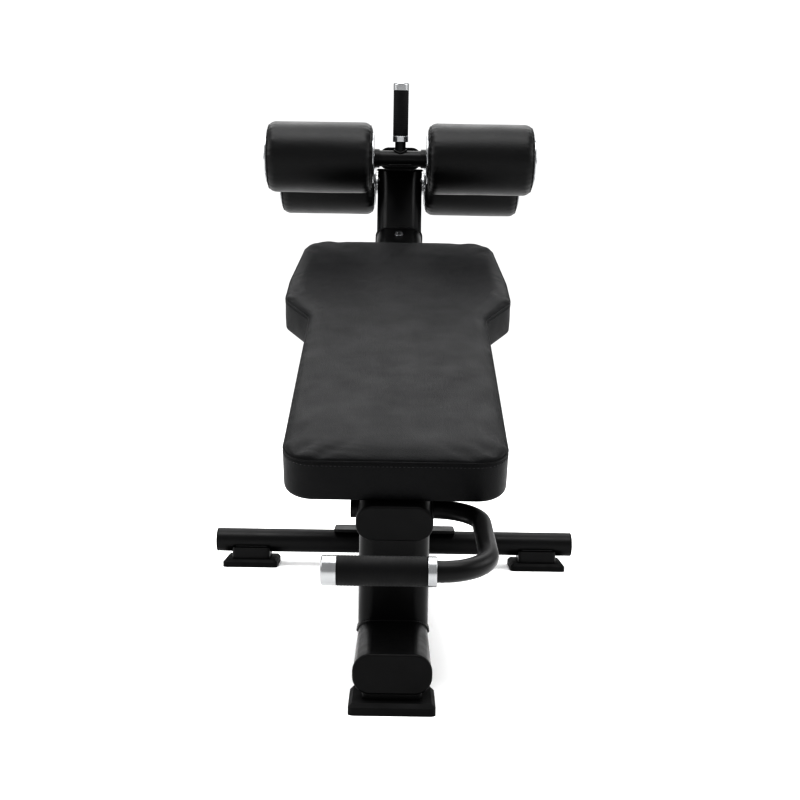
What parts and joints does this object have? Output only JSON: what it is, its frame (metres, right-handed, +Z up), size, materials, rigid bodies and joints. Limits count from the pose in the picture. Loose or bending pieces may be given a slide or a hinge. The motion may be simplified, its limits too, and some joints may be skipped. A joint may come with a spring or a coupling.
{
  "type": "roman chair",
  "caption": "Roman chair, a fixed decline sit-up bench with a padded board, padded knee and ankle rollers that turn, and hand grips at both ends.",
  "frame": {"origin": "on the floor, at the centre of the bench's overall length and width", "axes": "+Y from the head end to the foot end where the rollers are, +X to the right seen from the head end, +Z up"},
  "size_m": [0.74, 1.5004, 0.985],
  "materials": {
    "frame_paint": "satin",
    "cap_plastic": "satin",
    "foot_rubber": "matte",
    "pad_vinyl": "matte",
    "roller_vinyl": "satin",
    "board_wood": "matte",
    "core_plastic": "matte",
    "bright_aluminium": "satin",
    "bolt_steel": "satin",
    "grip_rubber": "matte"
  },
  "bodies": {
    "frame": {"base_tube": "frame_paint", "base_tube_cap": "cap_plastic", "cross_tube": "frame_paint", "cross_tube_plug_left": "cap_plastic", "cross_tube_plug_right": "cap_plastic", "rear_plate": "frame_paint", "front_foot": "foot_rubber", "front_foot_spacer": "frame_paint", "rear_foot_left": "foot_rubber", "rear_foot_saddle_left": "frame_paint", "rear_foot_right": "foot_rubber", "rear_foot_saddle_right": "frame_paint", "front_post": "frame_paint", "rear_post": "frame_paint", "seat_tube": "frame_paint", "seat_tube_cap": "cap_plastic", "end_bolt": "bolt_steel", "bench_pad": "pad_vinyl", "pad_board": "board_wood", "pad_bar_front": "frame_paint", "pad_bar_middle": "frame_paint", "pad_bar_rear": "frame_paint", "pad_bolts": "bolt_steel", "knee_sleeve": "frame_paint", "knee_axle": "bolt_steel", "knee_bush_left": "frame_paint", "knee_bush_right": "frame_paint", "knee_axle_bolts": "bolt_steel", "ankle_sleeve": "frame_paint", "ankle_axle": "bolt_steel", "ankle_bush_left": "bright_aluminium", "ankle_bush_right": "bright_aluminium", "ankle_axle_bolts": "bolt_steel", "roller_arm": "frame_paint", "roller_arm_cap": "cap_plastic", "handle_bar": "frame_paint", "handle_bar_plug": "cap_plastic", "front_grip": "grip_rubber", "front_grip_collar": "bright_aluminium", "front_grip_cap": "bright_aluminium", "upright_handle": "frame_paint", "upright_grip_ring": "bright_aluminium", "upright_grip": "grip_rubber", "upright_grip_cap": "bright_aluminium"},
    "knee_left_roller_set": {"knee_left_core": "core_plastic", "knee_left_roller": "roller_vinyl", "knee_left_discs": "bright_aluminium"},
    "knee_right_roller_set": {"knee_right_core": "core_plastic", "knee_right_roller": "roller_vinyl", "knee_right_discs": "bright_aluminium"},
    "ankle_left_roller_set": {"ankle_left_core": "core_plastic", "ankle_left_roller": "roller_vinyl", "ankle_left_discs": "bright_aluminium"},
    "ankle_right_roller_set": {"ankle_right_core": "core_plastic", "ankle_right_roller": "roller_vinyl", "ankle_right_discs": "bright_aluminium"}
  },
  "joints": [
    {"name": "knee_left_spin", "type": "hinge", "parent": "frame", "child": "knee_left_roller_set", "pos_m": [-0.165, 0.33406, 0.837], "axis": [1, 0, 0], "continuous": true},
    {"name": "knee_right_spin", "type": "hinge", "parent": "frame", "child": "knee_right_roller_set", "pos_m": [0.165, 0.33406, 0.837], "axis": [1, 0, 0], "continuous": true},
    {"name": "ankle_left_spin", "type": "hinge", "parent": "frame", "child": "ankle_left_roller_set", "pos_m": [-0.165, 0.67725, 0.831], "axis": [1, 0, 0], "continuous": true},
    {"name": "ankle_right_spin", "type": "hinge", "parent": "frame", "child": "ankle_right_roller_set", "pos_m": [0.165, 0.67725, 0.831], "axis": [1, 0, 0], "continuous": true}
  ]
}
